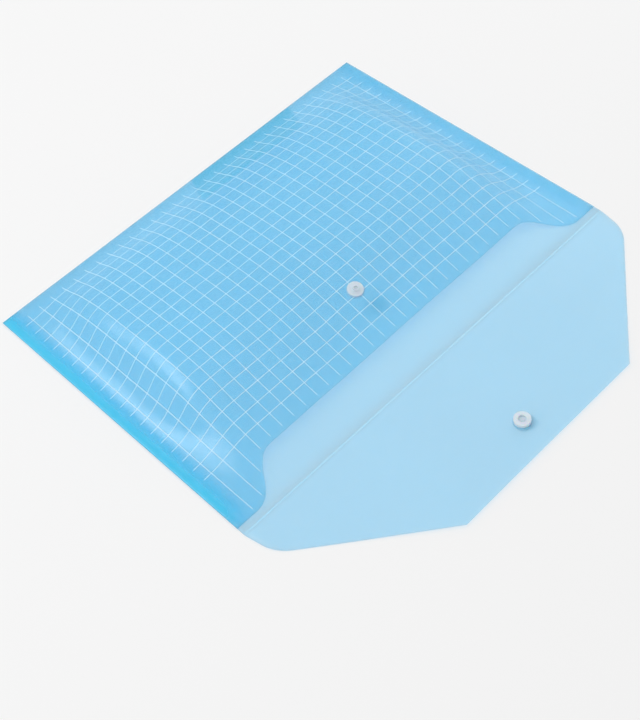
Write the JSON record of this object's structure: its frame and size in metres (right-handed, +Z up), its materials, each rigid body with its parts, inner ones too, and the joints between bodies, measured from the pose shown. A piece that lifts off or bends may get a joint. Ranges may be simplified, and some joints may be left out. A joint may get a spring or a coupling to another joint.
{
  "type": "button envelope folder",
  "caption": "A4 envelope folder in clear blue plastic film with a printed grid, welded sides, a hinged snap-close flap and a gaping pocket for papers.",
  "frame": {"origin": "centre of the footprint of the folder lying on its back with the flap open, on the surface it rests on", "axes": "+X along the crease, +Y from the flap tip to the bottom fold, +Z up out of the back panel"},
  "size_m": [0.33, 0.332, 0.0241],
  "materials": {
    "film": "clear light-blue polypropylene film, smooth and glossy, with a fine white grid printed on the front panel",
    "weld": "the same film, doubled and melted into one denser blue band",
    "snap": "milky white moulded plastic"
  },
  "bodies": {
    "pocket": {"back_panel": "film", "front_panel": "film", "bottom_fold": "film", "left_side_weld": "weld", "right_side_weld": "weld", "flap_crease": "film", "front_snap_cap": "snap", "front_snap_stud": "snap"},
    "flap": {"flap_panel": "film", "flap_snap_cap": "snap", "flap_snap_socket": "snap"}
  },
  "joints": [
    {"name": "flap_fold", "type": "hinge", "parent": "pocket", "child": "flap", "pos_m": [0, -0.07401, 0.0006], "axis": [-1, 0, 0], "range_deg": [0, 162.75], "deforming": ["flap_crease"]}
  ]
}
